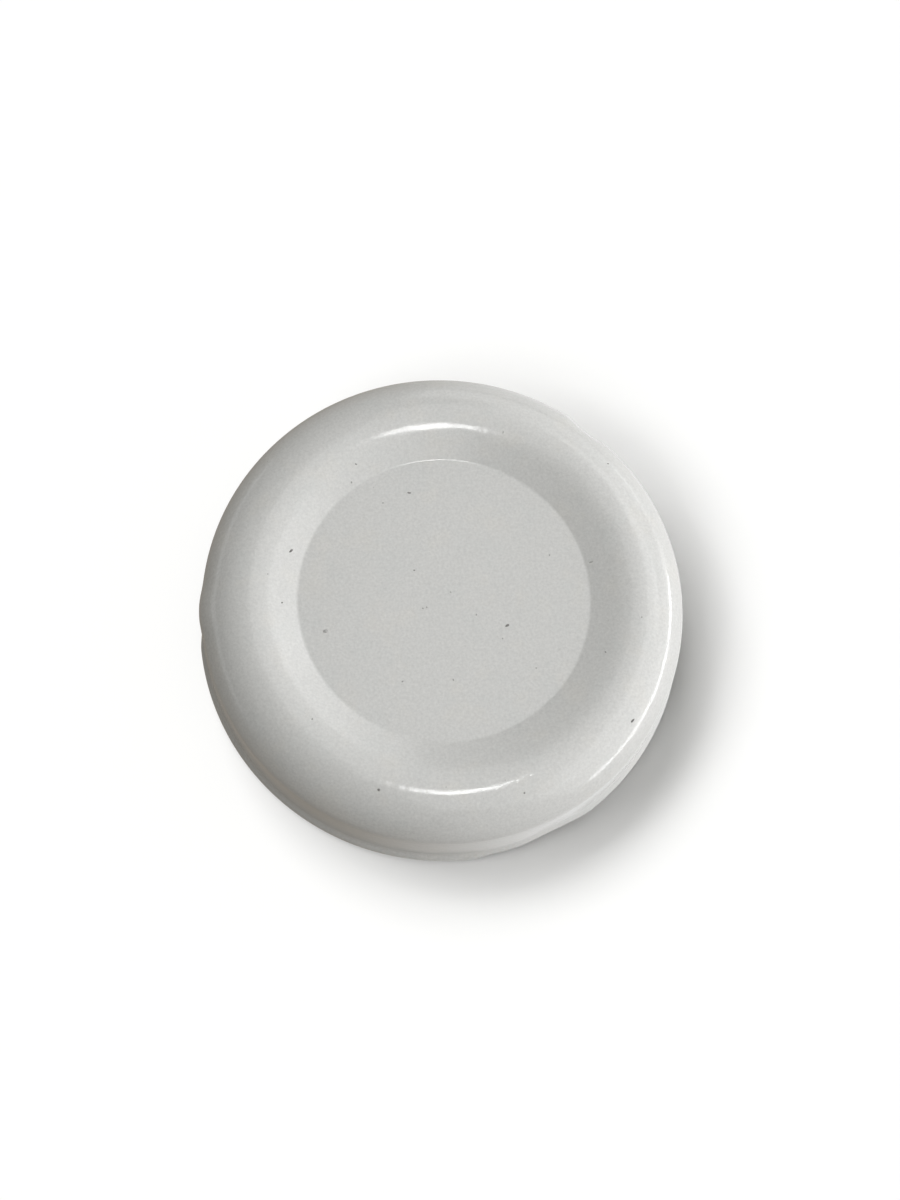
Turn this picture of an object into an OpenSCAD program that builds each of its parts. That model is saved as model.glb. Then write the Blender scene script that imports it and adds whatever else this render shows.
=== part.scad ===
// Twist-off cap for a small bottle or jar, standing on its curl with the crown up.
// The origin is the centre of the rest plane under the curl, and Z is the axis of the cap.

/* [Cap] */
// Outer diameter of the skirt just above the curl
skirt_d = 40.54; // [38:0.02:44]
// Height from the rest plane to the crest of the ring
cap_h = 9.5; // [8:0.1:12]
// Thickness of the sheet steel with its lacquer
sheet_t = 0.2; // [0.16:0.01:0.26]
// Angle by which the skirt widens towards the curl
skirt_taper = 1; // [0.2:0.1:3]

/* [Crown] */
// Depth of the flat centre panel below the crest of the ring
panel_drop = 1.05; // [0.6:0.05:1.3]
// Width of the slope from the edge of the panel to the crest
ring_slope_w = 4.1; // [3.5:0.05:5]
// Distance from the skirt in to the crest of the ring
crest_inset = 4.05; // [3.6:0.05:5]
// Radius of the bend at the edge of the panel
bend_r = 0.9; // [0.3:0.05:1.1]
// Radius of the ring on the inner side of its crest
crest_in_r = 5.8; // [4.5:0.1:6.8]
// Radius of the ring on the outer side of its crest
crest_out_r = 3.3; // [2.5:0.1:3.8]
// Radius of the shoulder where the ring runs over into the skirt
shoulder_r = 2.2; // [1.6:0.1:2.5]
// Drop from the crest to the top of the straight skirt
shoulder_drop = 3.5; // [3:0.1:4.2]

/* [Curl] */
// Diameter of the rolled curl, seen in section
curl_w = 1.84; // [1.5:0.02:2.2]
// How far the curl stands out beyond the skirt
curl_proud = 0.38; // [0.2:0.02:0.6]
// Radius of the neck where the skirt turns out into the curl
neck_r = 0.35; // [0.2:0.05:0.6]
// Width of the flat under the curl that the cap rests on
rest_w = 0.4; // [0.3:0.05:0.6]
// Angle through which the sheet is rolled up round the curl
curl_wrap = 300; // [270:5:315]

/* [Lugs] */
// Number of lugs
lug_count = 3; // [2:1:6]
// Direction of the first lug
lug_first = 52; // [0:1:119]
// Length of a lug along the rim
lug_len = 8.4; // [6:0.1:11]
// Height of the squeezed curl at a lug
lug_h = 0.9; // [0.7:0.02:1.2]
// Height of the underside of a lug above the rest plane
lug_lift = 0.35; // [0.1:0.05:0.5]
// How far a lug stands in beyond the inner side of the curl
lug_reach = 0.9; // [0.5:0.05:1.2]
// How far the outer side of a lug bulges past the skirt
lug_bulge = 0.2; // [0.02:0.01:0.26]
// Length over which the end of a lug runs into the curl
lug_blend = 0.9; // [0.6:0.05:1.4]

/* [Seal] */
// How far the gasket reaches in from the crest of the ring
seal_in_w = 2.7; // [2:0.1:3.4]
// How far the gasket reaches out from the crest of the ring
seal_out_w = 1.9; // [1.2:0.1:2.4]
// How far the face of the gasket stands below the underside of the panel
seal_proud = 0.35; // [0.1:0.05:0.6]
// Radius on the two edges of the gasket
seal_edge_r = 0.3; // [0.1:0.05:0.4]

/* [Hidden] */

lacquer_white = [0.82, 0.82, 0.80];
gasket_cream = [0.88, 0.86, 0.80];

// Steps of the round stretches of the section
bend_steps = 5;
crest_steps = 10;
shoulder_steps = 12;
neck_steps = 5;
curl_steps = 12;
lug_steps = 12;
// Depth at which a round end lies below the face of the stretch that it closes
let_in = 0.01;
// Turn of a round end about its own axis, which keeps the start of its revolve off other faces
end_turn = 40;

// Crown
skirt_r = skirt_d / 2;
crest_r = skirt_r - crest_inset;
panel_r = crest_r - ring_slope_w;
panel_z = cap_h - panel_drop;

// Slope of the straight flank that joins the panel's bend to the ring: the tangent line that
// passes over the circle of the bend and under the circle of the ring
flank_rise = panel_drop - crest_in_r - bend_r;
flank_reach = norm([ring_slope_w, flank_rise]);
in_slope = atan2(flank_rise, ring_slope_w) + asin((crest_in_r + bend_r) / flank_reach);

// Centre of the shoulder's arc, which touches the tapered skirt
shoulder_z = cap_h - shoulder_drop;
shoulder_c = skirt_r - (shoulder_r + (shoulder_z - curl_w) * sin(skirt_taper)) / cos(skirt_taper);

// Slope of the straight stretch between the ring and the shoulder: their outer tangent
fall = [shoulder_c - crest_r, shoulder_z - (cap_h - crest_out_r)];
out_slope = asin((crest_out_r - shoulder_r) / norm(fall)) - atan2(fall[1], fall[0]);

// Curl and the neck above it, whose arc touches both the skirt and the curl
curl_r = curl_w / 2;
curl_c = skirt_r + curl_proud - curl_r;
curl_z = sqrt(curl_r * curl_r - rest_w * rest_w / 4);
rest_half = asin(rest_w / curl_w);
skirt_out = [cos(skirt_taper), sin(skirt_taper)];
skirt_up = [-sin(skirt_taper), cos(skirt_taper)];
curl_gap = ([curl_c, curl_z] - [skirt_r, curl_w]) * skirt_out;
neck_side = neck_r - curl_gap;
neck_rise = sqrt(pow(neck_r + curl_r, 2) - neck_side * neck_side);
neck = [curl_c, curl_z] + neck_side * skirt_out + neck_rise * skirt_up;
neck_turn = skirt_taper + atan2(neck_rise, neck_side);
neck_z = (neck - neck_r * skirt_out)[1];
curl_end = neck_turn - curl_wrap;

// Lug: the curl squeezed flat, sheet on sheet, under the foot of the skirt
lug_z = lug_lift + lug_h / 2;
lug_out_r = skirt_at(lug_z) + lug_bulge;
lug_in_r = curl_c - curl_r - lug_reach;
lug_half_w = (lug_out_r - lug_in_r) / 2;
lug_c = lug_in_r + lug_half_w;
// Directions of the centres of its round ends, and of the ends of the curl beside it
lug_end_angle = (lug_len / 2 - lug_half_w) / lug_c * 180 / PI;
gap_angle = (lug_len / 2 - lug_blend + curl_r) / curl_c * 180 / PI;

// Seal
seal_z = panel_z - sheet_t - seal_proud;
seal_in_r = crest_r - seal_in_w;
seal_out_r = crest_r + seal_out_w;

function flipped(list) = [for (i = [len(list) - 1 : -1 : 0]) list[i]];

// Points of an arc, from its first angle to its last
function arc(centre, r, first, last, steps, skip = 0) =
    [for (i = [skip : steps])
        let (a = first + (last - first) * i / steps)
        centre + r * [cos(a), sin(a)]];

// Points of a squeezed round about the origin
function oval(half_w, half_h, first, last, steps) =
    [for (p = arc([0, 0], 1, first, last, steps)) [half_w * p[0], half_h * p[1]]];

// Radius of the skirt's outer face at a height
function skirt_at(z) = skirt_r - (z - curl_w) * tan(skirt_taper);

// Crown from the axis to the top of the skirt, at a depth below the outer face
function crown(depth) = concat(
    [[0, panel_z - depth]],
    arc([panel_r, panel_z + bend_r], bend_r + depth, 270, 270 + in_slope, bend_steps),
    arc([crest_r, cap_h - crest_in_r], crest_in_r - depth, 90 + in_slope, 90, crest_steps),
    arc([crest_r, cap_h - crest_out_r], crest_out_r - depth, 90, 90 - out_slope, crest_steps, 1),
    arc([shoulder_c, shoulder_z], shoulder_r - depth, 90 - out_slope, skirt_taper, shoulder_steps));

// Neck and round curl, at a depth below the outer face
function rim(depth) = concat(
    arc(neck, neck_r + depth, 180 + skirt_taper, 180 + neck_turn, neck_steps),
    arc([curl_c, curl_z], curl_r - depth, neck_turn, rest_half - 90, curl_steps, 1),
    arc([curl_c, curl_z], curl_r - depth, -rest_half - 90, curl_end, curl_steps));

// Space that one lug takes out of the round rim
module lug_gap() {
    inner_r = lug_in_r - 1;
    rotate([0, 0, -gap_angle])
        rotate_extrude(angle = 2 * gap_angle, $fn = 180)
            translate([inner_r, -1])
                square([skirt_r + curl_proud + 1 - inner_r, neck_z + 1]);
}

// Skirt that runs straight down to the lug where the curl is squeezed flat
module lug_wall() {
    across = sheet_t / cos(skirt_taper);
    rotate([0, 0, -gap_angle])
        rotate_extrude(angle = 2 * gap_angle, $fn = 180)
            polygon([[skirt_at(neck_z) - across, neck_z], [skirt_at(neck_z), neck_z],
                     [skirt_at(lug_z), lug_z], [skirt_at(lug_z) - across, lug_z]]);
}

// Lug with its two round ends
module lug() {
    rotate([0, 0, -lug_end_angle])
        rotate_extrude(angle = 2 * lug_end_angle, $fn = 180)
            translate([lug_c, lug_z])
                polygon(oval(lug_half_w, lug_h / 2, 0, 360 - 180 / lug_steps, 2 * lug_steps - 1));
    for (side = [-1, 1])
        rotate([0, 0, side * lug_end_angle])
            translate([lug_c, 0, lug_z])
                rotate([0, 0, side * end_turn])
                    rotate_extrude($fn = 60)
                        polygon(oval(lug_half_w - let_in, lug_h / 2 - let_in, -90, 90, lug_steps));
}

// Round ends where the curl is pinched shut on both sides of a lug
module curl_ends() {
    end_r = curl_r - let_in;
    for (side = [-1, 1])
        rotate([0, 0, side * gap_angle])
            translate([curl_c, 0, curl_z])
                rotate([0, 0, side * (end_turn + 90)])
                    rotate_extrude($fn = 60)
                        polygon(concat([[0, -end_r * cos(rest_half)]],
                                       arc([0, 0], end_r, rest_half - 90, 90, curl_steps)));
}

module at_lugs() {
    for (i = [0 : lug_count - 1])
        rotate([0, 0, lug_first + 360 / lug_count * i])
            children();
}

// Pressed sheet with its panel, ring, shoulder, skirt, curl and lugs
module cap_shell() {
    face = concat(crown(0), rim(0));
    back = concat(crown(sheet_t), rim(sheet_t));
    color(lacquer_white)
    union() {
        difference() {
            rotate_extrude($fn = 180)
                polygon(concat(face, flipped(back)));
            at_lugs() lug_gap();
        }
        at_lugs() lug_wall();
        at_lugs() curl_ends();
        at_lugs() lug();
    }
}

// Flowed-in gasket that fills the channel under the ring
module seal_ring() {
    under = crown(sheet_t);
    roof = concat(
        [[seal_in_r, lookup(seal_in_r, under)]],
        [for (p = under) if (p[0] > seal_in_r && p[0] < seal_out_r) p],
        [[seal_out_r, lookup(seal_out_r, under)]]);
    edge_z = seal_z + seal_edge_r;
    color(gasket_cream)
        rotate_extrude($fn = 180)
            polygon(concat(
                roof,
                arc([seal_out_r - seal_edge_r, edge_z], seal_edge_r, 0, -90, bend_steps),
                arc([seal_in_r + seal_edge_r, edge_z], seal_edge_r, -90, -180, bend_steps)));
}

cap_shell();
seal_ring();
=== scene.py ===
import math
import random

import bmesh
import bpy
import numpy as np
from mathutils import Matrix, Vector
from bpy.props import FloatProperty, FloatVectorProperty, IntProperty, PointerProperty


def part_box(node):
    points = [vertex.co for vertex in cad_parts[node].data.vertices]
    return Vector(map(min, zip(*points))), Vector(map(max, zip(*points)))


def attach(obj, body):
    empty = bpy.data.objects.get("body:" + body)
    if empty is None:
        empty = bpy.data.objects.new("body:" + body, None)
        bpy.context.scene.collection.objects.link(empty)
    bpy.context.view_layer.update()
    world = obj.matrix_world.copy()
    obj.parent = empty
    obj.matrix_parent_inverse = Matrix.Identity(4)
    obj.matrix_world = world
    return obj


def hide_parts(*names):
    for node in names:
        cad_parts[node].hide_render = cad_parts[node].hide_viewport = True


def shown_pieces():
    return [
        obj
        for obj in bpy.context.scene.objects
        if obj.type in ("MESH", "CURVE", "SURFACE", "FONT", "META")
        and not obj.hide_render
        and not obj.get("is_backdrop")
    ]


bl_info = {
    "name": "Twist-off Cap",
    "version": (1, 0, 0),
    "blender": (4, 5, 0),
    "location": "3D View > Sidebar > Cap",
    "description": "Dresses a pressed lug cap in lacquer, with its gasket, dust, floor, lamps and camera",
    "category": "Object",
}

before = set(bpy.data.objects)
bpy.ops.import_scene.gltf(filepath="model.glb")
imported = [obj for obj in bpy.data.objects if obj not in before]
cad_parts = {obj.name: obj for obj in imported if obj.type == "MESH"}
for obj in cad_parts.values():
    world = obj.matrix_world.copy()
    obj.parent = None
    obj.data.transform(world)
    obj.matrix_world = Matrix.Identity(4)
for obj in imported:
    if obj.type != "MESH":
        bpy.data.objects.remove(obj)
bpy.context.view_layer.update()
MM = 0.001
CAP_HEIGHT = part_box("cap_shell")[1].z
CAP_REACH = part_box("cap_shell")[1].x
SEAL_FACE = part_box("seal_ring")[0].z
SEAL_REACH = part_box("seal_ring")[1].x


def length(name, default, description):
    """A length in metres, as a property."""
    return FloatProperty(name=name, description=description, default=default, subtype="DISTANCE",
                         unit="LENGTH", min=0, precision=5)


def angle(name, degrees, description):
    """An angle, written in degrees, as a property."""
    return FloatProperty(name=name, description=description, default=math.radians(degrees),
                         subtype="ANGLE", unit="ROTATION")


def colour(name, default, description):
    """A linear colour, as a property."""
    return FloatVectorProperty(name=name, description=description, default=default,
                               subtype="COLOR", size=3, min=0, max=1)


def factor(name, default, description, top=1.0):
    """A plain number with no unit, as a property."""
    return FloatProperty(name=name, description=description, default=default, min=0, max=top)


class CapSizes(bpy.types.PropertyGroup):
    """Sizes of the pressed sheet and of the gasket."""
    sheet: length("Sheet", 0.2 * MM, "Thickness of the sheet steel with its lacquer")
    taper: angle("Skirt taper", 1, "Angle by which the skirt widens towards the curl")
    curl_proud: length("Curl proud", 0.38 * MM, "How far the curl stands out beyond the skirt")
    panel_drop: length("Panel drop", 1.05 * MM, "Depth of the flat panel below the crest")
    ring_slope: length("Ring slope", 4.18 * MM, "Width of the slope from the panel to the crest")
    crest_inset: length("Crest inset", 4.05 * MM, "Distance from the skirt in to the crest")
    bend: length("Panel bend", 0.8 * MM, "Radius of the bend at the edge of the panel")
    crest_in: length("Inner crest", 6.3 * MM, "Radius of the ring on the inner side of its crest")
    crest_out: length("Outer crest", 4.1 * MM, "Radius of the ring on the outer side of its crest")
    shoulder: length("Shoulder", 2.2 * MM, "Radius of the shoulder above the skirt")
    shoulder_drop: length("Shoulder drop", 3.4 * MM, "Drop from the crest to the straight skirt")
    curl: length("Curl", 1.84 * MM, "Diameter of the rolled curl")
    neck: length("Neck", 0.9 * MM, "Radius where the skirt turns out into the curl")
    rest: length("Rest", 0.4 * MM, "Width of the flat under the curl")
    curl_wrap: angle("Curl wrap", 300, "Angle through which the sheet is rolled round the curl")
    lugs: IntProperty(name="Lugs", description="Number of lugs", default=3, min=1, max=6)
    lug_first: angle("First lug", 52, "Direction of the first lug")
    lug_length: length("Lug length", 8.4 * MM, "Length of a lug along the rim")
    lug_height: length("Lug height", 0.9 * MM, "Height of the squeezed curl at a lug")
    lug_lift: length("Lug lift", 0.35 * MM, "Height of the underside of a lug above the bench")
    lug_reach: length("Lug reach", 0.9 * MM, "How far a lug stands in beyond the curl")
    lug_bulge: length("Lug bulge", 0.2 * MM, "How far the outside of a lug bulges past the skirt")
    lug_run: length("Lug run", 2.4 * MM, "Length over which the curl runs into a lug")
    seal_in: length("Gasket inwards", 2.7 * MM, "Reach of the gasket in from the crest")
    seal_edge: length("Gasket edge", 0.3 * MM, "Radius on the two edges of the gasket")
    seal_groove: length("Gasket groove", 0.08 * MM, "Depth of the hollow along the gasket")


class CapLooks(bpy.types.PropertyGroup):
    """Colours and finish of the surfaces."""
    lacquer: colour("White lacquer", (0.664, 0.664, 0.653), "Colour of the outside lacquer")
    lacquer_warm: colour("Warm mottle", (0.676, 0.671, 0.652), "Warmer patches of the lacquer")
    lacquer_cool: colour("Cool mottle", (0.654, 0.658, 0.648), "Cooler patches of the lacquer")
    lacquer_gloss: factor("Lacquer roughness", 0.07, "Roughness of the lacquer's gloss")
    inside: colour("Inside lacquer", (0.66, 0.50, 0.24), "Colour of the inside lacquer")
    steel: colour("Bare steel", (0.42, 0.41, 0.40), "Colour of the cut edge of the sheet")
    gasket: colour("Gasket", (0.72, 0.70, 0.63), "Colour of the flowed-in gasket")
    dust: colour("Dust", (0.022, 0.020, 0.016), "Colour of the dust specks")


class CapStage(bpy.types.PropertyGroup):
    """Floor, lamps and camera."""
    tilt: angle("Camera tilt", 16.5, "Angle of the camera away from looking straight down")
    heading: angle("Camera heading", 80, "Direction along the floor in which the camera looks")
    distance: length("Camera distance", 180 * MM, "Distance of the camera along its axis")
    shift_x: FloatProperty(name="Framing across", default=-0.875 * MM, unit="LENGTH", precision=5,
                           description="How far right of the frame's centre the cap's origin lies")
    shift_y: FloatProperty(name="Framing up", default=-2.215 * MM, unit="LENGTH", precision=5,
                           description="How far above the frame's centre the cap's origin lies")
    lens: FloatProperty(name="Lens", default=62.25, unit="CAMERA", min=1,
                        description="Focal length on a sensor whose long side is 36 mm")
    floor: colour("Floor", (0.90, 0.90, 0.90), "Colour of the floor as the camera sees it")
    # Painted shade: the floor gives the cap back this darkened colour instead of its pale one, which darkens
    # the cap's skirt and lower faces
    shaded_floor_return: colour("Floor's return", (0.125, 0.112, 0.098), "Colour of the light the floor gives back")
    # Painted reflection: the floor glows in the cap's gloss, dark on the left as painted shade and pale on
    # the right as painted light
    mirrored_painted_shade: colour("Mirrored left", (0.31, 0.28, 0.24), "Colour of the floor mirrored on the left")
    mirrored_painted_light: colour("Mirrored right", (0.91, 0.91, 0.90), "Colour of the floor mirrored on the right")
    ambient: factor("Ambient", 0.25, "Brightness of the room's even light", 2)
    floor_light: factor("Floor light", 3.54, "Strength of the light that falls on the floor", 20)


# Steps of the mesh along the neck and a quarter of the curl, and columns round the axis
NECK_STEPS = 6
LUG_STEPS = 9
COLUMNS = 440

# How quickly the skirt runs out over the curl where no crease shows, as a power of the way down
FLARE = 1.6

# Stretch of the rim with no crease, in degrees: its middle, and how far each way it fades out and ends
PLAIN_MIDDLE = 317
PLAIN_END = 46
PLAIN_FADE = 20

# Columns where a lug begins or ends: how many more there are, how early, and the turns they are judged at
EXTRA_COLUMNS = 2.5
EXTRA_EARLY = 3
FINE_TURNS = 7201


class Section:
    """The cap's section in the plane of its axis: places worked out from the named sizes."""

    def __init__(self, s):
        self.s = s
        self.top = CAP_HEIGHT
        self.skirt_r = CAP_REACH - s.curl_proud
        self.crest_r = self.skirt_r - s.crest_inset
        self.panel_r = self.crest_r - s.ring_slope
        self.panel_z = self.top - s.panel_drop
        self.taper = math.degrees(s.taper)
        self.shape_crown()
        self.shape_curl()
        self.shape_lug()

    def shape_crown(self):
        """Slopes of the two straight stretches that join the arcs of the crown."""
        s = self.s
        rise = s.panel_drop - s.crest_in - s.bend
        lean = math.asin((s.crest_in + s.bend) / math.hypot(s.ring_slope, rise))
        self.in_slope = math.degrees(math.atan2(rise, s.ring_slope) + lean)
        self.shoulder_z = self.top - s.shoulder_drop
        foot = s.shoulder + (self.shoulder_z - s.curl) * math.sin(s.taper)
        self.shoulder_c = self.skirt_r - foot / math.cos(s.taper)
        across = self.shoulder_c - self.crest_r
        down = self.shoulder_z - (self.top - s.crest_out)
        lean = math.asin((s.crest_out - s.shoulder) / math.hypot(across, down))
        self.out_slope = math.degrees(lean - math.atan2(down, across))

    def shape_curl(self):
        """Places of the curl and of the neck whose arc touches both the skirt and the curl."""
        s = self.s
        self.curl_r = s.curl / 2
        self.curl_c = CAP_REACH - self.curl_r
        self.curl_z = math.sqrt(self.curl_r ** 2 - s.rest ** 2 / 4)
        self.rest_half = math.degrees(math.asin(s.rest / s.curl))
        outward = np.array([math.cos(s.taper), math.sin(s.taper)])
        upward = np.array([-math.sin(s.taper), math.cos(s.taper)])
        curl = np.array([self.curl_c, self.curl_z])
        side = s.neck - (curl - [self.skirt_r, s.curl]) @ outward
        rise = math.sqrt((s.neck + self.curl_r) ** 2 - side ** 2)
        self.neck = curl + side * outward + rise * upward
        self.neck_turn = self.taper + math.degrees(math.atan2(rise, side))
        self.curl_end = self.neck_turn - math.degrees(s.curl_wrap)

    def shape_lug(self):
        """Place and half width of a lug's squeezed round."""
        s = self.s
        self.lug_z = s.lug_lift + s.lug_height / 2
        self.lug_out = self.skirt_at(self.lug_z) + s.lug_bulge
        self.lug_in = self.curl_c - self.curl_r - s.lug_reach
        self.lug_half = (self.lug_out - self.lug_in) / 2
        self.lug_c = self.lug_in + self.lug_half

    def skirt_at(self, z):
        """Radius of the skirt's outer face at a height."""
        return self.skirt_r - (z - self.s.curl) * math.tan(self.s.taper)

    def crown(self, depth):
        """Outline from the axis to the top of the skirt, at a depth below the outer face."""
        s = self.s
        out = 1 - (1 - np.linspace(0, 1, 10)) ** 3
        panel = np.column_stack([self.panel_r * out, np.full(len(out), self.panel_z - depth)])
        return np.concatenate([
            panel,
            arc([self.panel_r, self.panel_z + s.bend], s.bend + depth, 270, 270 + self.in_slope, 8, 1),
            arc([self.crest_r, self.top - s.crest_in], s.crest_in - depth, 90 + self.in_slope, 90, 10),
            arc([self.crest_r, self.top - s.crest_out], s.crest_out - depth,
                90, 90 - self.out_slope, 10, 1),
            arc([self.shoulder_c, self.shoulder_z], s.shoulder - depth,
                90 - self.out_slope, self.taper, 16),
        ])

    def skirt(self, depth):
        """Outline of the straight skirt between the shoulder and the neck."""
        first = arc([self.shoulder_c, self.shoulder_z], self.s.shoulder - depth, self.taper, self.taper, 0)
        last = arc(self.neck, self.s.neck + depth, 180 + self.taper, 180 + self.taper, 0)
        share = np.linspace(0, 1, 6)[1:-1, None]
        return first + (last - first) * share

    def round_rim(self, depth):
        """Outline of the neck and the round curl."""
        curl = [self.curl_c, self.curl_z]
        radius = self.curl_r - depth
        return np.concatenate([
            arc(self.neck, self.s.neck + depth, 180 + self.taper, 180 + self.neck_turn, NECK_STEPS),
            arc(curl, radius, self.neck_turn, 0, LUG_STEPS, 1),
            arc(curl, radius, 0, self.rest_half - 90, LUG_STEPS, 1),
            arc(curl, radius, -self.rest_half - 90, self.curl_end, 2 * LUG_STEPS),
        ])

    def plain_rim(self, depth):
        """The round rim where the skirt runs out over the curl with no crease above it."""
        rim = self.round_rim(depth)
        over = NECK_STEPS + 1 + LUG_STEPS
        share = np.linspace(0, 1, over)[:, None]
        flare = np.concatenate([share ** FLARE, share], axis=1)
        rim[:over] = rim[0] + (np.array([CAP_REACH - depth, self.curl_z]) - rim[0]) * flare
        return rim

    def lug_rim(self, depth):
        """Outline at a lug, with as many points: the skirt runs down into a squeezed round."""
        first = arc(self.neck, self.s.neck + depth, 180 + self.taper, 180 + self.taper, 0)
        foot = np.array([[self.lug_out - depth, self.lug_z]])
        share = np.linspace(0, 1, NECK_STEPS + 1 + LUG_STEPS)[:, None]
        centre = np.array([self.lug_c, self.lug_z])
        halves = np.array([self.lug_half - depth, self.s.lug_height / 2 - depth])
        wrap = 270 - self.rest_half
        return np.concatenate([
            first + (foot - first) * share,
            centre + halves * arc([0, 0], 1, 0, -90, LUG_STEPS, 1),
            centre + halves * arc([0, 0], 1, -90, -wrap, 2 * LUG_STEPS + 1, 1),
        ])


def arc(centre, radius, first, last, steps, skip=0):
    """Points of an arc in the section's plane, from its first angle to its last, in degrees."""
    turn = np.radians(np.linspace(first, last, steps + 1)[skip:])
    return np.array(centre) + radius * np.column_stack([np.cos(turn), np.sin(turn)])


def smooth(share):
    """Runs from 0 to 1 with no slope at either end."""
    share = np.clip(share, 0, 1)
    return share * share * share * (share * (share * 6 - 15) + 10)


def away(turn, direction):
    """Smallest angle between turns and a direction."""
    return np.abs((turn - direction + math.pi) % (2 * math.pi) - math.pi)


def lug_share(section, turn):
    """How far the rim is a lug at each turn: 1 along a lug, 0 where the curl is round."""
    s = section.s
    half = (s.lug_length / 2 - s.lug_run / 2) / section.lug_c
    run = s.lug_run / section.lug_c
    first = s.lug_first + np.arange(s.lugs) * 2 * math.pi / s.lugs
    return sum(smooth((half + run - away(turn, lug)) / run) for lug in first)


def column_turns(section):
    """Turns of the mesh's columns round the axis, closer together where a lug begins or ends."""
    fine = np.linspace(0, 2 * math.pi, FINE_TURNS)
    change = np.abs(np.gradient(lug_share(section, fine), fine))
    density = 1 + EXTRA_COLUMNS * np.minimum(change / change.max() * EXTRA_EARLY, 1)
    reach = np.concatenate([[0], np.cumsum((density[1:] + density[:-1]) / 2)])
    return np.interp(np.linspace(0, reach[-1], COLUMNS + 1)[:-1], reach, fine)


# Dents in the shoulder, the skirt and the rim, fitted to the outline: direction and half width in
# degrees, depth in mm (below nothing for a swelling), and the heights in mm between which each one
# deepens and between which it ends
DENTS = [
    (51, 7.5, 0.34, (1.8, 6.0), (6.8, 9.0)),
    (182, 8.5, -0.20, (0.6, 4.0), (6.6, 9.2)),
    (296, 9.0, 0.14, (-1.0, 0.0), (1.8, 5.5)),
]


def swept(outline, turn):
    """Points of an outline carried round the axis, with the dents pressed in."""
    r, z = outline[..., 0], outline[..., 1]
    for direction, half, depth, deepens, ends in DENTS:
        round_it = smooth(1 - away(turn, math.radians(direction)) / math.radians(half))
        up = smooth((z / MM - deepens[0]) / (deepens[1] - deepens[0]))
        down = smooth((ends[1] - z / MM) / (ends[1] - ends[0]))
        r = r - depth * MM * round_it[:, None] * up * down
    return np.stack([r * np.cos(turn)[:, None], r * np.sin(turn)[:, None], z], axis=-1)


def plain_share(turn):
    """How far the rim has no crease above the curl at each turn."""
    inwards = math.radians(PLAIN_END) - away(turn, math.radians(PLAIN_MIDDLE))
    return smooth(inwards / math.radians(PLAIN_FADE))


def sheet_outlines(section, turn, depth):
    """Outline of one face of the sheet at each turn, as turns x points x 2."""
    share = lug_share(section, turn)[:, None, None]
    plain = plain_share(turn)[:, None, None]
    crown = np.concatenate([section.crown(depth), section.skirt(depth)])
    crown = np.broadcast_to(crown, (len(turn), *crown.shape))
    rim = section.round_rim(depth) * (1 - plain) + section.plain_rim(depth) * plain
    rim = rim * (1 - share) + section.lug_rim(depth) * share
    return np.concatenate([crown, rim], axis=1)


def lathe_mesh(name, points, bands, closed):
    """A mesh of columns x points, closed round the axis. bands gives a material for each row."""
    columns, rows = points.shape[:2]
    at = np.arange(columns * rows).reshape(columns, rows)
    after = np.roll(at, -1, axis=0)
    last = rows if closed else rows - 1
    down = (np.arange(last) + 1) % rows
    quads = np.stack([at[:, :last], at[:, down], after[:, down], after[:, :last]], axis=-1)
    mesh = bpy.data.meshes.new(name)
    mesh.from_pydata(points.reshape(-1, 3).tolist(), [], quads.reshape(-1, 4).tolist())
    mesh.polygons.foreach_set("material_index", np.tile(bands, columns).astype(np.int32))
    mesh.polygons.foreach_set("use_smooth", np.ones(len(mesh.polygons), bool))
    return mesh


def tidy_mesh(mesh):
    """Joins the points that meet on the axis, sets the faces outwards and keeps cut edges crisp."""
    work = bmesh.new()
    work.from_mesh(mesh)
    bmesh.ops.remove_doubles(work, verts=work.verts, dist=0.001 * MM)
    bmesh.ops.recalc_face_normals(work, faces=work.faces)
    work.to_mesh(mesh)
    work.free()
    mesh.set_sharp_from_angle(angle=math.radians(50))


def show(name, mesh, materials, slot, *nodes):
    """Puts a piece in the scene, riding on the part's one body."""
    piece = bpy.data.objects.new(name, mesh)
    bpy.context.scene.collection.objects.link(piece)
    for material in materials:
        mesh.materials.append(material)
    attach(piece, "root")
    if nodes:
        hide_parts(*nodes)


class Tree:
    """Short ways to add and join nodes in a material or a node group."""

    def __init__(self, nodes, links):
        self.nodes = nodes
        self.links = links

    def add(self, kind, inputs=None, **settings):
        node = self.nodes.new(kind)
        for name, value in settings.items():
            setattr(node, name, value)
        for name, value in (inputs or {}).items():
            self.put(node.inputs[name], value)
        return node

    def put(self, socket, value):
        if isinstance(value, bpy.types.NodeSocket):
            self.links.new(value, socket)
        else:
            socket.default_value = value

    def math(self, operation, first, second=0.0, third=0.0):
        return self.add("ShaderNodeMath", {0: first, 1: second, 2: third}, operation=operation).outputs[0]

    def mix(self, share, first, second):
        node = self.add("ShaderNodeMix", {0: share, 6: first, 7: second}, data_type="RGBA")
        return node.outputs[2]

    def span(self, value, low, high, out_low=0.0, out_high=1.0):
        node = self.add("ShaderNodeMapRange", {0: value, 1: low, 2: high, 3: out_low, 4: out_high},
                        interpolation_type="SMOOTHSTEP")
        return node.outputs[0]

    def noise(self, place, scale, detail=2.0, roughness=0.5, distortion=0.0):
        return self.add("ShaderNodeTexNoise", {"Vector": place, "Scale": scale, "Detail": detail,
                                               "Roughness": roughness, "Distortion": distortion})


def new_group(name, inputs, outputs):
    """A shader node group with named sockets, and the tree inside it."""
    group = bpy.data.node_groups.new(name, "ShaderNodeTree")
    for label, kind, default in inputs:
        socket = group.interface.new_socket(label, in_out="INPUT", socket_type=kind)
        socket.default_value = default
    for label, kind in outputs:
        group.interface.new_socket(label, in_out="OUTPUT", socket_type=kind)
    tree = Tree(group.nodes, group.links)
    return group, tree, tree.add("NodeGroupInput").outputs, tree.add("NodeGroupOutput").inputs


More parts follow.
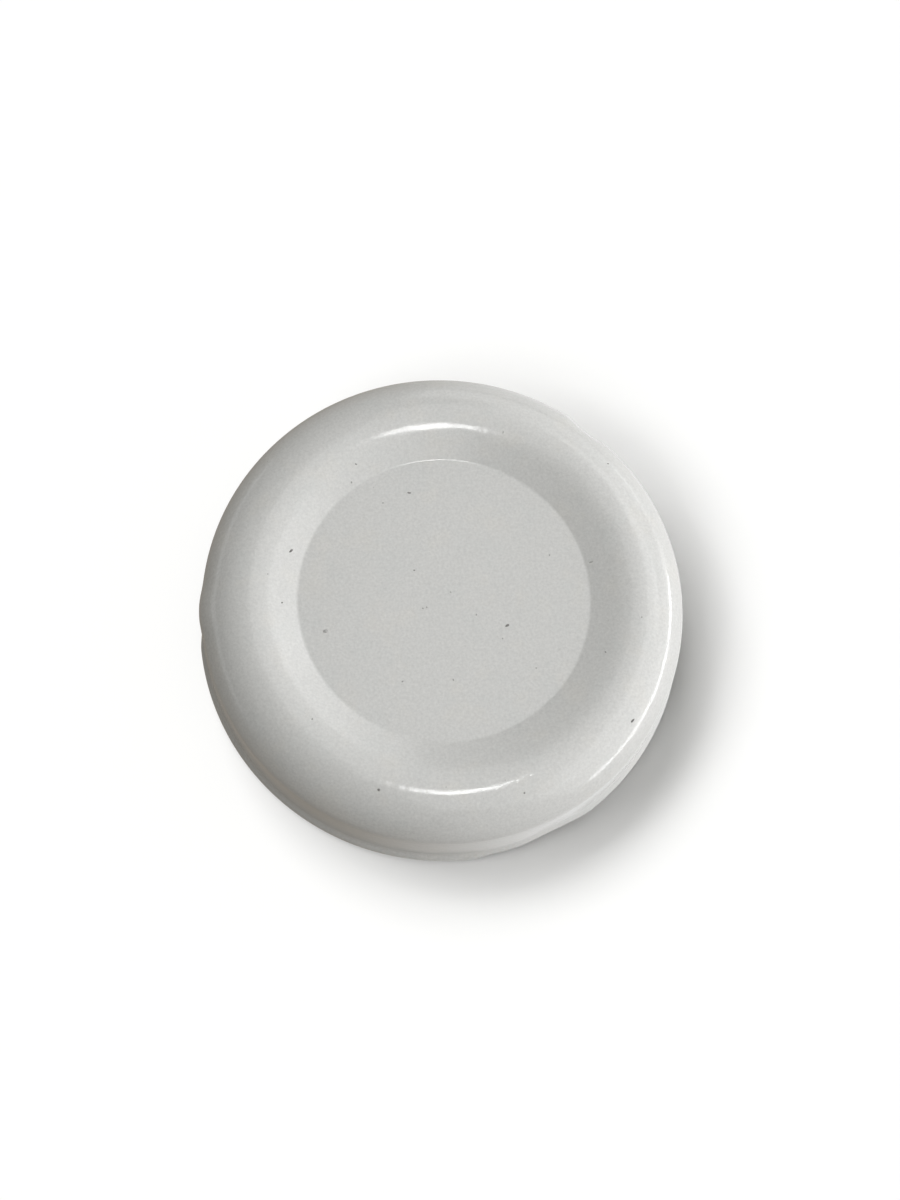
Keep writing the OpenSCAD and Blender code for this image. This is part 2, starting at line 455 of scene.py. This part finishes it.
def placed(tree, scale):
    """Object coordinates in millimetres, stretched by a scale of three numbers."""
    place = tree.add("ShaderNodeTexCoord").outputs["Object"]
    node = tree.add("ShaderNodeVectorMath", {0: place, 1: [x / MM for x in scale]}, operation="MULTIPLY")
    return node.outputs[0]


def peel_group():
    """Height of a poured or sprayed skin: a soft orange peel over a finer grain."""
    group, tree, given, out = new_group(
        "Paint Skin",
        [("Peel Size", "NodeSocketFloat", 1.0), ("Grain Share", "NodeSocketFloat", 0.25),
         ("Seed", "NodeSocketFloat", 0.0)],
        [("Height", "NodeSocketFloat")])
    place = placed(tree, (1, 1, 1))
    shifted = tree.add("ShaderNodeVectorMath", {0: place, 1: given["Seed"]}, operation="ADD").outputs[0]
    peel = tree.noise(shifted, tree.math("DIVIDE", 0.9, given["Peel Size"]), 1.5, 0.45)
    grain = tree.noise(shifted, tree.math("DIVIDE", 4.5, given["Peel Size"]), 2.0, 0.55)
    fine = tree.math("MULTIPLY", grain.outputs["Fac"], given["Grain Share"])
    tree.put(out["Height"], tree.math("ADD", peel.outputs["Fac"], fine))
    return group


def mottle_group():
    """Colour that wanders between three close tones, with a fine grain over it."""
    group, tree, given, out = new_group(
        "Soft Mottle",
        [("Colour", "NodeSocketColor", (0.6, 0.6, 0.6, 1)), ("Warm", "NodeSocketColor", (0.6, 0.6, 0.6, 1)),
         ("Cool", "NodeSocketColor", (0.6, 0.6, 0.6, 1)), ("Patch Size", "NodeSocketFloat", 6.0),
         ("Grain", "NodeSocketFloat", 0.05), ("Seed", "NodeSocketFloat", 0.0)],
        [("Colour", "NodeSocketColor"), ("Grain", "NodeSocketFloat")])
    place = placed(tree, (1, 1, 1))
    shifted = tree.add("ShaderNodeVectorMath", {0: place, 1: given["Seed"]}, operation="ADD").outputs[0]
    scale = tree.math("DIVIDE", 1.0, given["Patch Size"])
    warm = tree.span(tree.noise(shifted, scale, 3.0).outputs["Fac"], 0.52, 0.70)
    other = tree.add("ShaderNodeVectorMath", {0: shifted, 1: (31.0, 17.0, 5.0)}, operation="ADD").outputs[0]
    cool = tree.span(tree.noise(other, scale, 3.0).outputs["Fac"], 0.50, 0.70)
    tone = tree.mix(cool, tree.mix(warm, given["Colour"], given["Warm"]), given["Cool"])
    grain = tree.noise(shifted, 4.4, 4.0, 0.66).outputs["Fac"]
    level = tree.math("MULTIPLY_ADD", tree.math("SUBTRACT", grain, 0.5), given["Grain"], 1.0)
    lit = tree.add("ShaderNodeVectorMath", {0: tone, "Scale": level}, operation="SCALE").outputs[0]
    tree.put(out["Colour"], lit)
    tree.put(out["Grain"], grain)
    return group


def grime_group():
    """Mask of tiny scattered spots, each with its own size, on part of a surface."""
    group, tree, given, out = new_group(
        "Fine Spots",
        [("Spacing", "NodeSocketFloat", 1.4), ("Size", "NodeSocketFloat", 0.06),
         ("Share", "NodeSocketFloat", 0.3), ("Seed", "NodeSocketFloat", 0.0)],
        [("Mask", "NodeSocketFloat")])
    place = placed(tree, (1, 1, 1))
    bent = tree.noise(place, 6.0, 1.0).outputs["Color"]
    bent = tree.add("ShaderNodeVectorMath", {0: bent, 1: (0.10, 0.10, 0.10), 2: place},
                    operation="MULTIPLY_ADD").outputs[0]
    bent = tree.add("ShaderNodeVectorMath", {0: bent, 1: given["Seed"]}, operation="ADD").outputs[0]
    scale = tree.math("DIVIDE", 1.0, given["Spacing"])
    cells = tree.add("ShaderNodeTexVoronoi", {"Vector": bent, "Scale": scale})
    chance = tree.add("ShaderNodeSeparateColor", {0: cells.outputs["Color"]}).outputs
    reach = tree.math("MULTIPLY", cells.outputs["Distance"], given["Spacing"])
    size = tree.math("MULTIPLY", given["Size"], tree.math("ADD", chance[1], 0.35))
    spot = tree.span(tree.math("DIVIDE", reach, size), 1.15, 0.35)
    chosen = tree.math("LESS_THAN", chance[0], given["Share"])
    tree.put(out["Mask"], tree.math("MULTIPLY", spot, chosen))
    return group


def use_group(tree, name, **inputs):
    """Places a shared effect in a material, with its own values."""
    node = tree.add("ShaderNodeGroup", node_tree=bpy.data.node_groups[name])
    for label, value in inputs.items():
        tree.put(node.inputs[label.replace("_", " ")], value)
    return node.outputs


def new_material(name):
    """An empty node material with its Principled BSDF joined to the output."""
    material = bpy.data.materials.new(name)
    material.use_nodes = True
    tree = Tree(material.node_tree.nodes, material.node_tree.links)
    tree.nodes.clear()
    shader = tree.add("ShaderNodeBsdfPrincipled")
    tree.add("ShaderNodeOutputMaterial", {"Surface": shader.outputs[0]})
    return material, tree, shader.inputs


def rgba(colour_value):
    """A property's colour with full opacity."""
    return (*colour_value, 1.0)


def lacquer_material(looks):
    """White lacquer on the outside: glossy, with a soft skin, a faint mottle and fine grime."""
    material, tree, shader = new_material("white_lacquer")
    tone = use_group(tree, "Soft Mottle", Colour=rgba(looks.lacquer), Warm=rgba(looks.lacquer_warm),
                     Cool=rgba(looks.lacquer_cool), Patch_Size=3.0, Grain=0.42)
    spots = use_group(tree, "Fine Spots", Spacing=1.5, Size=0.055, Share=0.16)["Mask"]
    haze = use_group(tree, "Fine Spots", Spacing=2.6, Size=0.22, Share=0.22, Seed=40.0)["Mask"]
    spotted = tree.mix(tree.math("MULTIPLY", spots, 0.45), tone["Colour"], (0.20, 0.19, 0.17, 1))
    greyed = tree.mix(tree.math("MULTIPLY", haze, 0.10), spotted, (0.30, 0.30, 0.28, 1))
    tree.put(shader["Base Color"], greyed)
    tree.put(shader["Roughness"], tree.span(tone["Grain"], 0.2, 0.8, 0.34, 0.44))
    skin = use_group(tree, "Paint Skin", Peel_Size=0.8, Grain_Share=0.50)["Height"]
    bump = tree.add("ShaderNodeBump", {"Strength": 0.8, "Distance": 0.018 * MM, "Height": skin})
    tree.put(shader["Normal"], bump.outputs[0])
    shader["Coat Weight"].default_value = 1.0
    shader["Coat Roughness"].default_value = looks.lacquer_gloss
    shader["Specular IOR Level"].default_value = 0.3
    tree.put(shader["Coat Normal"], bump.outputs[0])
    return material


def inside_material(looks):
    """Clear gold lacquer on the tinned inside, with the faint drag marks of the roller."""
    material, tree, shader = new_material("inside_lacquer")
    drag = tree.noise(placed(tree, (0.6, 9.0, 0.6)), 1.0, 3.0, 0.6).outputs["Fac"]
    pale = tree.mix(tree.span(drag, 0.35, 0.7), rgba(looks.inside), (0.74, 0.60, 0.34, 1))
    spots = use_group(tree, "Fine Spots", Spacing=2.2, Size=0.08, Share=0.12, Seed=12.0)["Mask"]
    spotted = tree.mix(tree.math("MULTIPLY", spots, 0.5), pale, (0.20, 0.13, 0.05, 1))
    tree.put(shader["Base Color"], spotted)
    shader["Metallic"].default_value = 0.85
    tree.put(shader["Roughness"], tree.span(drag, 0.2, 0.8, 0.30, 0.42))
    shader["Coat Weight"].default_value = 0.6
    shader["Coat Roughness"].default_value = 0.15
    skin = use_group(tree, "Paint Skin", Peel_Size=1.2, Grain_Share=0.2, Seed=7.0)["Height"]
    bump = tree.add("ShaderNodeBump", {"Strength": 0.35, "Distance": 0.01 * MM, "Height": skin})
    tree.put(shader["Normal"], bump.outputs[0])
    return material


def steel_material(looks):
    """Sheared edge of the sheet: bare steel, dull and finely torn."""
    material, tree, shader = new_material("bare_edge")
    torn = tree.noise(placed(tree, (3.0, 3.0, 14.0)), 1.0, 4.0, 0.7).outputs["Fac"]
    dull = tree.mix(tree.span(torn, 0.3, 0.7), rgba(looks.steel), (0.22, 0.20, 0.18, 1))
    tree.put(shader["Base Color"], dull)
    shader["Metallic"].default_value = 0.9
    tree.put(shader["Roughness"], tree.span(torn, 0.2, 0.8, 0.35, 0.6))
    bump = tree.add("ShaderNodeBump", {"Strength": 0.5, "Distance": 0.01 * MM, "Height": torn})
    tree.put(shader["Normal"], bump.outputs[0])
    return material


def gasket_material(looks):
    """Flowed-in compound: a soft satin skin with small pores, darkened in colour as painted shade."""
    material, tree, shader = new_material("seal_compound")
    tone = use_group(tree, "Soft Mottle", Colour=rgba(looks.gasket), Warm=(0.73, 0.69, 0.60, 1),
                     Cool=(0.69, 0.68, 0.63, 1), Patch_Size=3.0, Grain=0.06, Seed=21.0)
    pores = use_group(tree, "Fine Spots", Spacing=0.9, Size=0.05, Share=0.25, Seed=3.0)["Mask"]
    # Painted shade: the pores are darkened in colour, as well as sunk by the bump below
    tree.put(shader["Base Color"], tree.mix(tree.math("MULTIPLY", pores, 0.4), tone["Colour"],
                                            (0.40, 0.37, 0.31, 1)))
    tree.put(shader["Roughness"], tree.span(tone["Grain"], 0.2, 0.8, 0.36, 0.50))
    shader["Specular IOR Level"].default_value = 0.45
    shader["Subsurface Weight"].default_value = 0.15
    shader["Subsurface Scale"].default_value = 0.3 * MM
    skin = use_group(tree, "Paint Skin", Peel_Size=1.6, Grain_Share=0.2, Seed=9.0)["Height"]
    low = tree.math("SUBTRACT", skin, tree.math("MULTIPLY", pores, 0.8))
    bump = tree.add("ShaderNodeBump", {"Strength": 0.5, "Distance": 0.02 * MM, "Height": low})
    tree.put(shader["Normal"], bump.outputs[0])
    return material


def dust_material(looks):
    """Dust and faint marks: matt grains, each as dark as its own tone."""
    material, tree, shader = new_material("dust")
    tone = tree.add("ShaderNodeAttribute", attribute_name="tone").outputs["Fac"]
    speck = tree.noise(placed(tree, (1, 1, 1)), 9.0, 2.0).outputs["Fac"]
    dark = tree.mix(tree.span(speck, 0.35, 0.65), rgba(looks.dust), (0.07, 0.06, 0.05, 1))
    tree.put(shader["Base Color"], tree.mix(tone, rgba(looks.lacquer), dark))
    shader["Roughness"].default_value = 0.9
    shader["Specular IOR Level"].default_value = 0.2
    return material


# The larger marks on the outside: place in mm, length and width in mm, turn in degrees, darkness.
# They weren't placed by hand: they are rounded rows of a list that a program measured in the photograph
MARKS = [
    (15.3, -10.4, 0.45, 0.18, 45, 0.70),
    (-12.7, 3.9, 0.40, 0.18, 45, 0.70),
    (5.2, -2.3, 0.35, 0.20, 25, 0.65),
    (-5.4, -16.3, 0.24, 0.22, -15, 0.60),
    (-2.9, 9.2, 0.33, 0.15, -10, 0.60),
    (-9.8, -2.9, 0.37, 0.30, 20, 0.30),
    (12.3, 3.2, 0.43, 0.15, 20, 0.35),
    (6.3, -16.5, 0.17, 0.15, 30, 0.65),
    (-13.4, -0.6, 0.15, 0.12, 25, 0.90),
    (-2.5, 2.4, 0.17, 0.12, 0, 0.80),
    (13.2, -4.7, 0.18, 0.12, -50, 0.60),
    (13.9, 11.8, 0.15, 0.12, 0, 0.90),
]

# Fine grains scattered over the crown: how many, and how far out in mm
GRAINS = 18
GRAIN_REACH = 17.5

# Form of every grain: sides, size of its top, how ragged it is, how deep it lies, and its thickness
GRAIN_SIDES = 10
GRAIN_TOP = 0.72
GRAIN_RAGGED = (0.85, 1.3)
GRAIN_SUNK = 0.01 * MM
GRAIN_THICK = 0.18


def fine_grain(draw):
    """A small grain of dust anywhere on the crown, in the same terms as the marks."""
    turn = draw.uniform(0, 2 * math.pi)
    reach = GRAIN_REACH * math.sqrt(draw.random())
    return (reach * math.cos(turn), reach * math.sin(turn), draw.uniform(0.14, 0.22), 0.12,
            draw.uniform(-90, 90), draw.uniform(0.30, 0.60))


def section_height(section, radius):
    """Height of the outer face of the crown at a distance from the axis."""
    crown = section.crown(0)
    return float(np.interp(radius, crown[:, 0], crown[:, 1]))


def dust_mesh(section):
    """Flat irregular grains that lie on the crown."""
    draw = random.Random(5)
    points, faces, tones = [], [], []
    grains = MARKS + [fine_grain(draw) for _ in range(GRAINS)]
    for x, y, long_side, short_side, turn, tone in grains:
        base = Vector((x * MM, y * MM, 0))
        lean = math.radians(turn)
        ring = GRAIN_SIDES
        first = len(points)
        for layer, spread in ((0, 1.0), (1, GRAIN_TOP)):
            for i in range(ring):
                a = i * 2 * math.pi / ring
                grow = spread * draw.uniform(*GRAIN_RAGGED) * MM / 2
                across, along = math.cos(a) * long_side * grow, math.sin(a) * short_side * grow
                p = base + Vector((across * math.cos(lean) - along * math.sin(lean),
                                   across * math.sin(lean) + along * math.cos(lean), 0))
                p.z = section_height(section, p.length) - GRAIN_SUNK + layer * short_side * GRAIN_THICK * MM
                p.z = min(p.z, CAP_HEIGHT)
                points.append(p)
        for i in range(ring):
            j = (i + 1) % ring
            faces.append((first + i, first + j, first + ring + j, first + ring + i))
        faces.append(tuple(first + ring + i for i in range(ring)))
        faces.append(tuple(first + i for i in reversed(range(ring))))
        tones += [tone] * (ring + 2)
    mesh = bpy.data.meshes.new("dust_specks")
    mesh.from_pydata(points, [], faces)
    mesh.polygons.foreach_set("use_smooth", np.ones(len(faces), bool))
    mesh.attributes.new("tone", "FLOAT", "FACE").data.foreach_set("value", tones)
    return mesh


# Steps of the gasket's mesh: under the sheet, along its face, round each edge, and round the axis
ROOF_POINTS = 40
FACE_POINTS = 26
EDGE_STEPS = 10
SEAL_COLUMNS = 360

# The gasket's uneven inner edge: how far it wanders and lies in, and how far in and down that reaches
WANDER = 0.05 * MM
WANDER_SHARE = 0.6
EDGE_BACK = 0.06 * MM
UNEVEN_WIDE = 0.8 * MM
UNEVEN_HIGH = 0.4 * MM


def gasket_outline(section):
    """Section of the gasket: along the underside of the sheet, then round its edges and its face."""
    s = section.s
    inner, outer = section.crest_r - s.seal_in, SEAL_REACH
    under = section.crown(s.sheet)
    across = np.linspace(inner, outer, ROOF_POINTS)
    roof = np.column_stack([across, np.interp(across, under[:, 0], under[:, 1])])
    edge_z = SEAL_FACE + s.seal_edge
    out_edge = arc([outer - s.seal_edge, edge_z], s.seal_edge, 0, -90, EDGE_STEPS)
    in_edge = arc([inner + s.seal_edge, edge_z], s.seal_edge, -90, -180, EDGE_STEPS)
    share = np.linspace(0, 1, FACE_POINTS)[1:-1]
    face_r = outer - s.seal_edge + (inner - outer + 2 * s.seal_edge) * share
    face_z = SEAL_FACE + s.seal_groove * np.sin(math.pi * share) ** 2
    return np.concatenate([roof, out_edge, np.column_stack([face_r, face_z]), in_edge])


def gasket_points(section, outline):
    """The gasket's section carried round the axis, with its inner edge left uneven."""
    inner = section.crest_r - section.s.seal_in
    turn = np.linspace(0, 2 * math.pi, SEAL_COLUMNS + 1)[:-1]
    wander = WANDER * (np.sin(5 * turn + 1) + np.sin(11 * turn) * 0.6 + np.sin(23 * turn + 2) * 0.3)
    near_in = smooth((inner + UNEVEN_WIDE - outline[:, 0]) / UNEVEN_WIDE)
    near_in = near_in * smooth((outline[0, 1] - outline[:, 1]) / UNEVEN_HIGH)
    r = outline[:, 0] + (EDGE_BACK + wander[:, None] * WANDER_SHARE) * near_in
    z = np.broadcast_to(outline[:, 1], r.shape)
    return np.stack([r * np.cos(turn)[:, None], r * np.sin(turn)[:, None], z], axis=-1)


class CAP_OT_shell(bpy.types.Operator):
    """Builds the pressed shell from one sheet, with its curl, lugs and dents"""
    bl_idname = "cap.shell"
    bl_label = "Shell"

    def execute(self, context):
        looks = context.scene.cap_looks
        section = Section(context.scene.cap_sizes)
        turn = column_turns(section)
        outside = sheet_outlines(section, turn, 0)
        inside = sheet_outlines(section, turn, section.s.sheet)
        rows = outside.shape[1]
        outline = np.concatenate([outside, inside[:, ::-1]], axis=1)
        bands = np.array([0] * (rows - 1) + [1] + [2] * (rows - 1))
        mesh = lathe_mesh("cap_sheet", swept(outline, turn), bands, False)
        tidy_mesh(mesh)
        coats = [lacquer_material(looks), steel_material(looks), inside_material(looks)]
        show("cap_sheet", mesh, coats, "white_lacquer", "cap_shell")
        return {"FINISHED"}


class CAP_OT_gasket(bpy.types.Operator):
    """Builds the flowed-in gasket under the ring, with its slight hollow and uneven edges"""
    bl_idname = "cap.gasket"
    bl_label = "Gasket"

    def execute(self, context):
        section = Section(context.scene.cap_sizes)
        outline = gasket_outline(section)
        mesh = lathe_mesh("gasket", gasket_points(section, outline), np.zeros(len(outline)), True)
        tidy_mesh(mesh)
        show("gasket", mesh, [gasket_material(context.scene.cap_looks)], "seal_compound", "seal_ring")
        return {"FINISHED"}


class CAP_OT_dust(bpy.types.Operator):
    """Lays the specks of dust on the crown"""
    bl_idname = "cap.dust"
    bl_label = "Dust"

    def execute(self, context):
        section = Section(context.scene.cap_sizes)
        show("dust_specks", dust_mesh(section), [dust_material(context.scene.cap_looks)], "white_lacquer")
        return {"FINISHED"}


# Lamps on the cap: name, direction and height in degrees, distance, width and height in metres,
# brightness. Directions and sizes were given, and a program's fit to the photograph guided the
# brightness
LAMPS = [
    ("lamp_overhead", -15, 86, 0.45, 0.050, 0.062, 14.0),
    ("ceiling", 0, 66, 0.50, 0.90, 0.50, 0.78),
    ("window_top", 3, 58, 0.50, 0.55, 0.10, 0.85),
    ("window_low", -9, 3.0, 0.50, 0.60, 0.054, 6.2),
    ("window_right", 350, 24, 0.50, 0.80, 0.40, 0.66),
    ("window_near", 320, 16, 0.50, 0.90, 0.45, 0.42),
    ("window_far", 28, 5, 0.50, 0.40, 0.10, 1.1),
    ("window_back", 65, 20, 0.50, 0.51, 0.25, 0.92),
    ("window_high", 45, 44, 0.50, 0.466, 0.123, 0.95),
    ("room_left", 165, 5, 0.50, 0.80, 0.10, 0.65),
]

# Light on the floor alone: direction and height in degrees, share of the floor's light
FLOOR_LIGHTS = [(116, 52, 0.27), (150, 49, 0.33), (188, 46, 0.27), (228, 46, 0.17)]

# Softness of the light on the floor, in degrees, and half the width of the floor in metres
FLOOR_LIGHT_SPREAD = 25
FLOOR_HALF = 3.0

# Where the floor's painted reflection turns from painted shade on the left to painted light on the right, in
# mm from the cap's axis
MIRROR_LEFT = -12
MIRROR_RIGHT = 14

# Long side of the camera's sensor, in mm
SENSOR = 36.0


def floor_material(stage):
    """Plain pale floor as the camera sees it; other rays see painted light and shade: diffuse rays get a
    darkened colour back, and glossy rays see the floor glow, darker on the left as painted shade and paler
    on the right as painted light.
    """
    material, tree, shader = new_material("floor")
    path = tree.add("ShaderNodeLightPath").outputs
    seen = tree.math("MAXIMUM", path["Is Camera Ray"], path["Is Transmission Ray"])
    across = tree.add("ShaderNodeSeparateXYZ", {0: placed(tree, (1, 1, 1))}).outputs[0]
    # Painted shade: for diffuse rays the floor's colour is darkened, which shades the cap's skirt; for
    # glossy rays its colour is black and it glows instead
    given = tree.mix(path["Is Glossy Ray"], rgba(stage.shaded_floor_return), (0, 0, 0, 1))
    tree.put(shader["Base Color"], tree.mix(seen, given, rgba(stage.floor)))
    # Painted reflection: glossy rays see the floor glow, darker on the left as painted shade and paler on
    # the right as painted light, whatever light falls on it
    rightness = tree.span(across, MIRROR_LEFT, MIRROR_RIGHT)
    mirrored = tree.mix(rightness, rgba(stage.mirrored_painted_shade), rgba(stage.mirrored_painted_light))
    tree.put(shader["Emission Color"], tree.mix(path["Is Glossy Ray"], (0, 0, 0, 1), mirrored))
    shader["Emission Strength"].default_value = 1.0
    shader["Roughness"].default_value = 1.0
    shader["Specular IOR Level"].default_value = 0.0
    return material


def aim(turn, height, distance):
    """A point at a direction and a height, in degrees, round the cap."""
    turn, height = math.radians(turn), math.radians(height)
    across = math.cos(height)
    return Vector((math.cos(turn) * across, math.sin(turn) * across, math.sin(height))) * distance


def gather(name, objects):
    """A collection that isn't in the scene itself, for lamps to name what they light."""
    group = bpy.data.collections.new(name)
    for item in objects:
        group.objects.link(item)
    return group


def add_lamp(name, turn, height, distance, wide, high, brightness):
    """A soft flat lamp that faces the cap."""
    lamp = bpy.data.lights.new(name, "AREA")
    lamp.shape = "RECTANGLE"
    lamp.size, lamp.size_y = wide, high
    lamp.energy = brightness * math.pi * wide * high
    holder = bpy.data.objects.new(name, lamp)
    holder.location = aim(turn, height, distance)
    holder.rotation_mode = "QUATERNION"
    holder.rotation_quaternion = holder.location.to_track_quat("Z", "Y")
    bpy.context.scene.collection.objects.link(holder)
    return holder


def add_floor(stage):
    """A wide floor with its own soft light, so that the cap's shadow falls on it to the right."""
    half = FLOOR_HALF
    mesh = bpy.data.meshes.new("floor")
    corners = [(-half, -half, 0), (half, -half, 0), (half, half, 0), (-half, half, 0)]
    mesh.from_pydata(corners, [], [(0, 1, 2, 3)])
    mesh.materials.append(floor_material(stage))
    floor = bpy.data.objects.new("floor", mesh)
    bpy.context.scene.collection.objects.link(floor)
    floor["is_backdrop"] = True
    only_floor = gather("lit_floor", [floor])
    for turn, height, share in FLOOR_LIGHTS:
        sun = bpy.data.lights.new("floor_light", "SUN")
        sun.energy = stage.floor_light * share
        sun.angle = math.radians(FLOOR_LIGHT_SPREAD)
        holder = bpy.data.objects.new("floor_light", sun)
        holder.rotation_mode = "QUATERNION"
        holder.rotation_quaternion = aim(turn, height, 1).to_track_quat("Z", "Y")
        bpy.context.scene.collection.objects.link(holder)
        holder.light_linking.receiver_collection = only_floor


def add_world(stage):
    """Even grey light, seen as plain white by the camera and through clear things."""
    world = bpy.data.worlds.new("studio")
    bpy.context.scene.world = world
    world.use_nodes = True
    tree = Tree(world.node_tree.nodes, world.node_tree.links)
    tree.nodes.clear()
    path = tree.add("ShaderNodeLightPath").outputs
    seen = tree.math("MAXIMUM", path["Is Camera Ray"], path["Is Transmission Ray"])
    strength = tree.math("MULTIPLY_ADD", seen, 1.0 - stage.ambient, stage.ambient)
    tone = tree.mix(seen, (1.0, 1.0, 0.95, 1), (1, 1, 1, 1))
    back = tree.add("ShaderNodeBackground", {"Color": tone, "Strength": strength})
    tree.add("ShaderNodeOutputWorld", {"Surface": back.outputs[0]})


def add_camera(stage):
    """The camera at the photograph's angle, with the cap's origin a little off the frame's centre."""
    camera = bpy.data.cameras.new("camera")
    camera.lens = stage.lens
    camera.sensor_width = SENSOR
    camera.clip_start = 1 * MM
    holder = bpy.data.objects.new("camera", camera)
    ahead = Vector((math.cos(stage.heading), math.sin(stage.heading), 0))
    back = Vector((0, 0, math.cos(stage.tilt))) - ahead * math.sin(stage.tilt)
    holder.rotation_mode = "QUATERNION"
    holder.rotation_quaternion = Vector((0, 0, 1)).rotation_difference(back)
    holder.location = holder.rotation_quaternion @ Vector((-stage.shift_x, -stage.shift_y, stage.distance))
    bpy.context.scene.collection.objects.link(holder)
    bpy.context.scene.camera = holder


class CAP_OT_stage(bpy.types.Operator):
    """Sets the floor, the soft lamps, the room's light and the camera"""
    bl_idname = "cap.stage"
    bl_label = "Stage"

    def execute(self, context):
        stage = context.scene.cap_stage
        add_floor(stage)
        lit = gather("lit_cap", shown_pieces())
        for values in LAMPS:
            add_lamp(*values).light_linking.receiver_collection = lit
        add_world(stage)
        add_camera(stage)
        context.scene.view_settings.view_transform = "Standard"
        return {"FINISHED"}


class CAP_PT_sidebar(bpy.types.Panel):
    """Lists the cap's pieces and sizes in the sidebar"""
    bl_label = "Twist-off Cap"
    bl_space_type = "VIEW_3D"
    bl_region_type = "UI"
    bl_category = "Cap"

    def draw(self, context):
        for operator in OPERATORS:
            self.layout.operator(operator.bl_idname)
        for group in (context.scene.cap_sizes, context.scene.cap_looks, context.scene.cap_stage):
            column = self.layout.column(align=True)
            for name in group.__annotations__:
                column.prop(group, name)


GROUPS = {"cap_sizes": CapSizes, "cap_looks": CapLooks, "cap_stage": CapStage}
OPERATORS = [CAP_OT_shell, CAP_OT_gasket, CAP_OT_dust, CAP_OT_stage]


def register():
    """Adds the property groups, operators and panel to Blender."""
    for item in (*GROUPS.values(), *OPERATORS, CAP_PT_sidebar):
        bpy.utils.register_class(item)
    for name, group in GROUPS.items():
        setattr(bpy.types.Scene, name, PointerProperty(type=group))


def unregister():
    """Takes them out again, in the opposite order."""
    for name in GROUPS:
        delattr(bpy.types.Scene, name)
    for item in reversed((*GROUPS.values(), *OPERATORS, CAP_PT_sidebar)):
        bpy.utils.unregister_class(item)


def main():
    """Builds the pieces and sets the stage."""
    register()
    peel_group()
    mottle_group()
    grime_group()
    bpy.ops.cap.shell()
    bpy.ops.cap.gasket()
    bpy.ops.cap.dust()
    bpy.ops.cap.stage()


if __name__ == "__main__":
    main()
